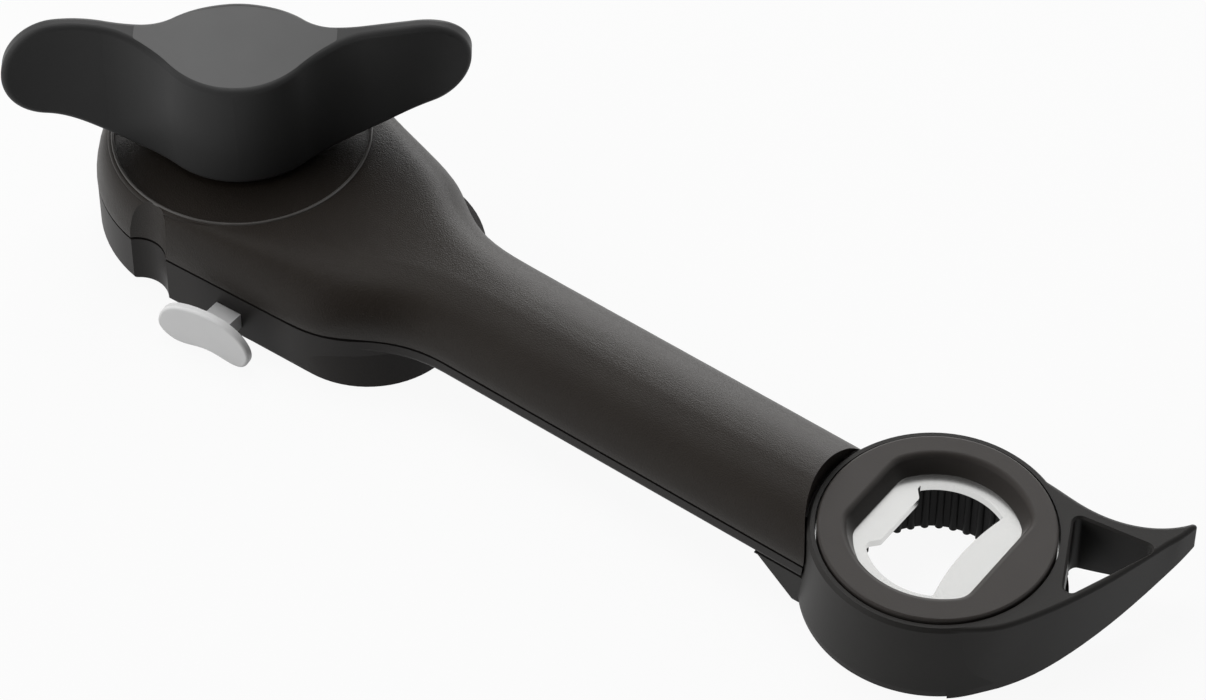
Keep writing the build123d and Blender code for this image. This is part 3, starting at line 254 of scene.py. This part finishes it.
# Acetal is off-white and slightly waxy.
BUSH_CLOUD = 0.003
acetal, tree, shader, place = finish_of("moulded acetal", Roughness=0.4, IOR=1.48)
cloud = add(tree, "ShaderNodeTexNoise", {"Scale": 1 / BUSH_CLOUD, "Detail": 2.0}, {"Vector": place})
tint = add(tree, "ShaderNodeMix", {"data_type": "RGBA", 6: linear("#d8d6cd"), 7: linear("#e4e2da")},
           {0: cloud.outputs["Fac"]})
tree.links.new(tint.outputs[2], shader.inputs["Base Color"])
dress(acetal, "upper_bush", "lower_bush")


# Knob: a hub with two wings, by which the feed wheel is turned.
# Injection-moulded ABS, set on the shaft's flat and held by a screw from the top.

# The finely blasted mould gives an even charcoal satin, with a grain that hardly shows.
KNOB_GRIT = 0.00022
KNOB_MOTTLE = 0.015
knob_abs, tree, shader, place = finish_of("satin ABS", Roughness=0.42, IOR=1.5, Specular_IOR_Level=0.12)
grit = add(tree, "ShaderNodeTexNoise", {"Scale": 1 / KNOB_GRIT, "Detail": 1.0}, {"Vector": place})
mottle = add(tree, "ShaderNodeTexNoise", {"Scale": 1 / KNOB_MOTTLE, "Detail": 2.0}, {"Vector": place})
tint = add(tree, "ShaderNodeMix", {"data_type": "RGBA", 6: linear("#323232"), 7: linear("#383838")},
           {0: mottle.outputs["Fac"]})
bump = add(tree, "ShaderNodeBump", {"Strength": 0.12, "Distance": 0.00003}, {"Height": grit.outputs["Fac"]})
tree.links.new(tint.outputs[2], shader.inputs["Base Color"])
tree.links.new(bump.outputs["Normal"], shader.inputs["Normal"])
dress(knob_abs, "turning_knob")


# Pad let into the knob's saddle, which covers its screw.
# Thermoplastic elastomer, moulded on the knob after it.

# The elastomer is greyer and softer to the eye than the ABS round it, with no clear highlight.
PAD_MOTTLE = 0.01
pad_tpe, tree, shader, place = finish_of("moulded elastomer", Roughness=0.6, IOR=1.5)
mottle = add(tree, "ShaderNodeTexNoise", {"Scale": 1 / PAD_MOTTLE, "Detail": 2.0}, {"Vector": place})
tint = add(tree, "ShaderNodeMix", {"data_type": "RGBA", 6: linear("#3a3a3a"), 7: linear("#424242")},
           {0: mottle.outputs["Fac"]})
tree.links.new(tint.outputs[2], shader.inputs["Base Color"])
dress(pad_tpe, "knob_top_pad")


# Lid pincher's button: a bean-shaped paddle on a square stem that slides into the head.
# Moulded ABS, in one piece with its stem and the rod inside.

# The ABS is coloured through, so the button is an even light grey with a soft shine.
BUTTON_MOTTLE = 0.006
button_abs, tree, shader, place = finish_of("light grey ABS", Roughness=0.42, IOR=1.53)
mottle = add(tree, "ShaderNodeTexNoise", {"Scale": 1 / BUTTON_MOTTLE, "Detail": 2.0}, {"Vector": place})
tint = add(tree, "ShaderNodeMix", {"data_type": "RGBA", 6: linear("#c6c6c6"), 7: linear("#cecece")},
           {0: mottle.outputs["Fac"]})
tree.links.new(tint.outputs[2], shader.inputs["Base Color"])
dress(button_abs, "pincher_button")


# Tail ring with its claw, and the lip under it.
# Moulded glass-filled nylon, stiff enough to pull with.
# Two of the housing screws pass through the ring's tongue, inside the handle's end.

# Glass-filled nylon is nearly black and dull, with a faint tooth to the skin.
RING_GRIT = 0.0004
RING_MOTTLE = 0.012
ring_nylon, tree, shader, place = finish_of("moulded nylon", Roughness=0.45, IOR=1.5,
                                            Specular_IOR_Level=0.14)
grit = add(tree, "ShaderNodeTexNoise", {"Scale": 1 / RING_GRIT, "Detail": 2.0}, {"Vector": place})
mottle = add(tree, "ShaderNodeTexNoise", {"Scale": 1 / RING_MOTTLE, "Detail": 3.0}, {"Vector": place})
tint = add(tree, "ShaderNodeMix", {"data_type": "RGBA", 6: linear("#242322"), 7: linear("#2a2928")},
           {0: mottle.outputs["Fac"]})
bump = add(tree, "ShaderNodeBump", {"Strength": 0.25, "Distance": 0.00005}, {"Height": grit.outputs["Fac"]})
tree.links.new(tint.outputs[2], shader.inputs["Base Color"])
tree.links.new(bump.outputs["Normal"], shader.inputs["Normal"])
dress(ring_nylon, "tail_ring", "ring_lower_lip")


# Bezel that caps the ring and holds the steel plate down.
# Moulded ABS, let into the ring's top over the plate.

# The ABS is a browner and lighter dark grey than the ring, and matte.
BEZEL_MOTTLE = 0.01
bezel_abs, tree, shader, place = finish_of("matte brown-grey ABS", Roughness=0.5, IOR=1.5,
                                           Specular_IOR_Level=0.26)
grit = add(tree, "ShaderNodeTexNoise", {"Scale": 1 / RING_GRIT, "Detail": 2.0}, {"Vector": place})
mottle = add(tree, "ShaderNodeTexNoise", {"Scale": 1 / BEZEL_MOTTLE, "Detail": 3.0}, {"Vector": place})
tint = add(tree, "ShaderNodeMix", {"data_type": "RGBA", 6: linear("#2a2725"), 7: linear("#312e2c")},
           {0: mottle.outputs["Fac"]})
bump = add(tree, "ShaderNodeBump", {"Strength": 0.2, "Distance": 0.00005}, {"Height": grit.outputs["Fac"]})
tree.links.new(tint.outputs[2], shader.inputs["Base Color"])
tree.links.new(bump.outputs["Normal"], shader.inputs["Normal"])
dress(bezel_abs, "ring_bezel")


# Bottle opener plate under the bezel, with a lip that lifts crown caps.
# Stainless steel, fine-blanked from sheet, and held between the ring's seat and the bezel.

# The satin finish makes it pale and even, and it takes its tone from what it reflects.
PLATE_GRAIN = 0.0004
satin_steel, tree, shader, place = finish_of("satin stainless steel", Metallic=1.0)
grain = add(tree, "ShaderNodeTexNoise", {"Scale": 1 / PLATE_GRAIN, "Detail": 4.0}, {"Vector": place})
tint = add(tree, "ShaderNodeMix", {"data_type": "RGBA", 6: linear("#cccccb"), 7: linear("#d8d8d6")},
           {0: grain.outputs["Fac"]})
rough = add(tree, "ShaderNodeMapRange", {"To Min": 0.16, "To Max": 0.22}, {"Value": grain.outputs["Fac"]})
tree.links.new(tint.outputs[2], shader.inputs["Base Color"])
tree.links.new(rough.outputs["Result"], shader.inputs["Roughness"])
dress(satin_steel, "bottle_opener_plate")


# Jar grip: a sleeve with upright ribs inside the ring, under the plate.
# Soft thermoplastic elastomer, moulded in place.

# The elastomer is a deep, dull black, so the ribs show only by their edges.
GRIP_MOTTLE = 0.004
grip_tpe, tree, shader, place = finish_of("black elastomer", Roughness=0.55, IOR=1.5, Specular_IOR_Level=0.1)
mottle = add(tree, "ShaderNodeTexNoise", {"Scale": 1 / GRIP_MOTTLE, "Detail": 2.0}, {"Vector": place})
tint = add(tree, "ShaderNodeMix", {"data_type": "RGBA", 6: linear("#0e0e0e"), 7: linear("#141414")},
           {0: mottle.outputs["Fac"]})
tree.links.new(tint.outputs[2], shader.inputs["Base Color"])
dress(grip_tpe, "jar_grip_liner")


# Table and surround: a plain pale table under a white studio.
# White card and white walls, which show nearly white to the camera and in reflections.
# The table keeps a part of the tool's soft shadow.

def seen_rays(tree):
    """Socket that is 1 for camera, glossy and transmission rays."""
    path = add(tree, "ShaderNodeLightPath", {}, {})
    seen = add(tree, "ShaderNodeMath", {"operation": "MAXIMUM"},
               {0: path.outputs["Is Camera Ray"], 1: path.outputs["Is Glossy Ray"]})
    seen = add(tree, "ShaderNodeMath", {"operation": "MAXIMUM"},
               {0: seen.outputs[0], 1: path.outputs["Is Transmission Ray"]})
    return seen.outputs[0]


TABLE_SIZE = 8
TABLE_CENTRE = (0.1, 0, -0.00005)
TABLE_WHITE_SHARE = 0.93
WHITE = (1, 1, 1, 1)
bpy.ops.object.select_all(action="DESELECT")
bpy.ops.mesh.primitive_plane_add(size=TABLE_SIZE, location=TABLE_CENTRE)
table = bpy.context.object
table.name = "table"
bpy.ops.object.transform_apply(location=True)

# Uncoated card is matte; most of what the camera sees of it is even white, the rest takes light and shadow.
white_card = bpy.data.materials.new("white card")
white_card.use_nodes = True
tree = white_card.node_tree
shader = tree.nodes["Principled BSDF"]
shader.inputs["Base Color"].default_value = linear("#b4b4b4")
shader.inputs["Roughness"].default_value = 0.9
shader.inputs["Specular IOR Level"].default_value = 0.0
share = add(tree, "ShaderNodeMath", {"operation": "MULTIPLY", 1: TABLE_WHITE_SHARE}, {0: seen_rays(tree)})
glow = add(tree, "ShaderNodeEmission", {"Color": WHITE, "Strength": 1.0}, {})
mixed = add(tree, "ShaderNodeMixShader", {},
            {0: share.outputs[0], 1: shader.outputs["BSDF"], 2: glow.outputs[0]})
tree.links.new(mixed.outputs[0], tree.nodes["Material Output"].inputs["Surface"])
table.data.materials.append(white_card)

SURROUND_FILL = 0.2
SURROUND_SEEN = 1.0
world = bpy.data.worlds.new("white surround")
world.use_nodes = True
tree = world.node_tree
level = add(tree, "ShaderNodeMapRange", {"To Min": SURROUND_FILL, "To Max": SURROUND_SEEN},
            {"Value": seen_rays(tree)})
tree.links.new(level.outputs["Result"], tree.nodes["Background"].inputs["Strength"])
tree.nodes["Background"].inputs["Color"].default_value = WHITE
bpy.context.scene.world = world


# Lamps: three square softboxes aimed at the middle of the tool.
# The back one draws the long highlight on the handle; the other two only fill, and don't show in reflections.

LAMP_AIM = Vector((0.09, 0, 0.02))
LAMPS = {"back softbox": ((-0.39, 0.95, 0.42), 0.9, 8.3, True),
         "left softbox": ((-0.60, -0.94, 0.48), 0.9, 11.0, False),
         "top softbox": ((-0.45, 0.30, 1.10), 0.9, 14.0, False)}
for name, (spot, size, power, reflected) in LAMPS.items():
    bpy.ops.object.light_add(type="AREA", location=spot)
    lamp = bpy.context.object
    lamp.name = name
    lamp.data.size = size
    lamp.data.energy = power
    lamp.visible_glossy = reflected
    lamp.rotation_euler = (LAMP_AIM - Vector(spot)).to_track_quat("-Z", "Y").to_euler()


# Camera: a long lens at the photograph's angle, without depth of field.
# Azimuth and elevation in radians, seen from the middle of the tool; distances in metres.

CAMERA_AIM = Vector((0.089849, -0.002003, 0.0185))
CAMERA_AZIMUTH = 0.6388
CAMERA_ELEVATION = 0.839303
CAMERA_ROLL = 0.004112
CAMERA_DISTANCE = 0.945635
CAMERA_LENS = 149.254
CAMERA_SENSOR = 36
bpy.ops.object.select_all(action="DESELECT")
bpy.ops.object.camera_add()
camera = bpy.context.object
camera.name = "camera"
camera.data.lens = CAMERA_LENS
camera.data.sensor_width = CAMERA_SENSOR
back = Vector((sin(CAMERA_AZIMUTH) * cos(CAMERA_ELEVATION), -cos(CAMERA_AZIMUTH) * cos(CAMERA_ELEVATION),
               sin(CAMERA_ELEVATION)))
turn = (-back).to_track_quat("-Z", "Y").to_matrix() @ Matrix.Rotation(CAMERA_ROLL, 3, "Z")
camera.matrix_world = Matrix.Translation(CAMERA_AIM + back * CAMERA_DISTANCE) @ turn.to_4x4()
bpy.context.scene.camera = camera
bpy.context.scene.view_settings.view_transform = "Standard"


# Black card: a felt-covered board that stands behind the camera.
# The near sides of the dark plastic reflect it, so they stay deep; no camera sees it itself.

CARD_DISTANCE = 1.4
CARD_SIZE = 2.2
bpy.ops.object.select_all(action="DESELECT")
bpy.ops.mesh.primitive_plane_add(size=CARD_SIZE)
card = bpy.context.object
card.name = "black card"
card.data.transform(Matrix.Translation(CAMERA_AIM + back * CARD_DISTANCE) @ turn.to_4x4())

# Felt swallows the light, so it is black from every side.
felt = bpy.data.materials.new("black felt")
felt.use_nodes = True
shader = felt.node_tree.nodes["Principled BSDF"]
shader.inputs["Base Color"].default_value = linear("#0c0c0c")
shader.inputs["Roughness"].default_value = 1.0
shader.inputs["Specular IOR Level"].default_value = 0.0
card.data.materials.append(felt)
card.visible_camera = False
